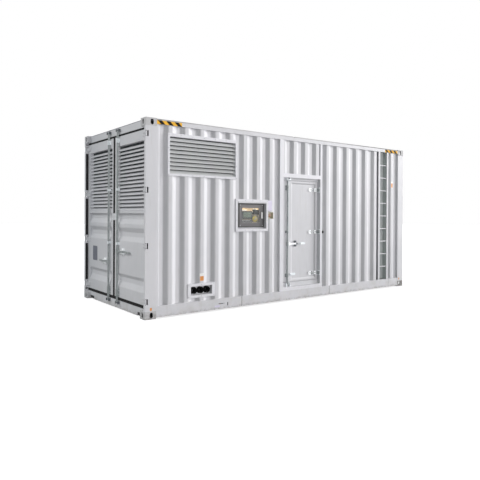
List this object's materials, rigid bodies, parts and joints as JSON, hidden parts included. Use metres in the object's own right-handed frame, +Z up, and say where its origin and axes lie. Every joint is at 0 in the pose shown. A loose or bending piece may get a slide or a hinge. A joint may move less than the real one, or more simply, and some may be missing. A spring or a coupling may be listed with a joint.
{
  "type": "diesel generator in a walk-in container enclosure",
  "caption": "Light grey diesel generator in a soundproof container enclosure, with louvred double end doors, a personnel door, a control recess and a ladder.",
  "frame": {"origin": "middle of the base, on the ground under the corner castings", "axes": "+X along the length, away from the louvred double doors; -Y is the side with the personnel door; +Z up"},
  "size_m": [6.058, 2.438, 2.896],
  "materials": {
    "housing_paint": "semi-gloss light grey paint",
    "tread_steel": "dull chequered plate",
    "galvanised_steel": "zinc plated",
    "black_rubber": "matte",
    "cover_grey": "satin dark grey paint",
    "window_glass": "clear",
    "panel_beige": "beige instrument plate",
    "recess_olive": "dull olive paint",
    "button_red": "gloss",
    "lining_cloth": "matte black glass cloth"
  },
  "bodies": {
    "enclosure": {"bottom_corner_fittings": "housing_paint", "bottom_side_rails": "housing_paint", "cable_outlet_tray": "housing_paint", "cable_sleeves": "black_rubber", "ceiling_lining": "lining_cloth", "control_recess": "housing_paint", "controller": "panel_beige", "door_end_posts": "housing_paint", "emergency_stop_tray": "recess_olive", "end_door_keepers": "galvanised_steel", "end_headers": "housing_paint", "end_sills": "housing_paint", "far_wall_louvre_bay_sheets": "housing_paint", "far_wall_tall_sheets": "housing_paint", "floor_cross_members": "housing_paint", "floor_plate": "tread_steel", "front_posts": "housing_paint", "front_wall_sheet": "housing_paint", "ladder_recess": "housing_paint", "ladder_rungs": "housing_paint", "near_wall_louvre_bay_sheets": "housing_paint", "near_wall_outlet_sheets": "housing_paint", "near_wall_short_sheets": "housing_paint", "near_wall_tall_sheets": "housing_paint", "roof_joint_beam": "housing_paint", "roof_panels": "housing_paint", "side_door_brackets_and_keepers": "galvanised_steel", "side_door_bumper": "black_rubber", "side_door_frame": "housing_paint", "side_door_gasket": "black_rubber", "side_louvres": "housing_paint", "top_corner_fittings": "housing_paint", "top_side_rails": "housing_paint", "wall_lining": "lining_cloth"},
    "right_end_door": {"right_end_door_frame": "housing_paint", "right_end_door_panel": "housing_paint", "right_end_door_louvre": "housing_paint", "right_end_door_gasket": "black_rubber", "right_end_door_hardware": "galvanised_steel"},
    "left_end_door": {"left_end_door_frame": "housing_paint", "left_end_door_panel": "housing_paint", "left_end_door_louvre": "housing_paint", "left_end_door_gasket": "black_rubber", "left_end_door_hardware": "galvanised_steel"},
    "right_lock_bar": {"right_end_door_lock_bar": "galvanised_steel"},
    "left_lock_bar": {"left_end_door_lock_bar": "galvanised_steel"},
    "side_door": {"side_door_leaf": "housing_paint", "side_door_hardware": "galvanised_steel"},
    "side_lock_bar": {"side_lock_bar": "galvanised_steel"},
    "control_cover": {"control_cover": "cover_grey", "control_window": "window_glass"},
    "stop_button": {"emergency_stop_button": "button_red"}
  },
  "joints": [
    {"name": "right_end_door_hinge", "type": "hinge", "parent": "enclosure", "child": "right_end_door", "pos_m": [-3.014, -1.204, 1.45], "axis": [0, 0, 1], "range_deg": [0, 265]},
    {"name": "left_end_door_hinge", "type": "hinge", "parent": "enclosure", "child": "left_end_door", "pos_m": [-3.014, 1.204, 1.45], "axis": [0, 0, -1], "range_deg": [0, 265]},
    {"name": "right_lock_bar_turn", "type": "hinge", "parent": "right_end_door", "child": "right_lock_bar", "pos_m": [-3.001, -0.175, 1.45], "axis": [0, 0, 1], "range_deg": [-90, 0]},
    {"name": "left_lock_bar_turn", "type": "hinge", "parent": "left_end_door", "child": "left_lock_bar", "pos_m": [-3.001, 0.175, 1.45], "axis": [0, 0, -1], "range_deg": [-90, 0]},
    {"name": "side_door_hinge", "type": "hinge", "parent": "enclosure", "child": "side_door", "pos_m": [0.495, -1.203, 1.2], "axis": [0, 0, 1], "range_deg": [0, 165]},
    {"name": "side_lock_bar_turn", "type": "hinge", "parent": "side_door", "child": "side_lock_bar", "pos_m": [-0.265, -1.176, 1.2], "axis": [0, 0, 1], "range_deg": [-90, 0]},
    {"name": "control_cover_hinge", "type": "hinge", "parent": "enclosure", "child": "control_cover", "pos_m": [-1.36, -1.1545, 1.498], "axis": [0, 0, -1], "range_deg": [0, 90]},
    {"name": "stop_button_press", "type": "slide", "parent": "enclosure", "child": "stop_button", "axis": [0, 1, 0], "range_m": [0, 0.006]}
  ]
}
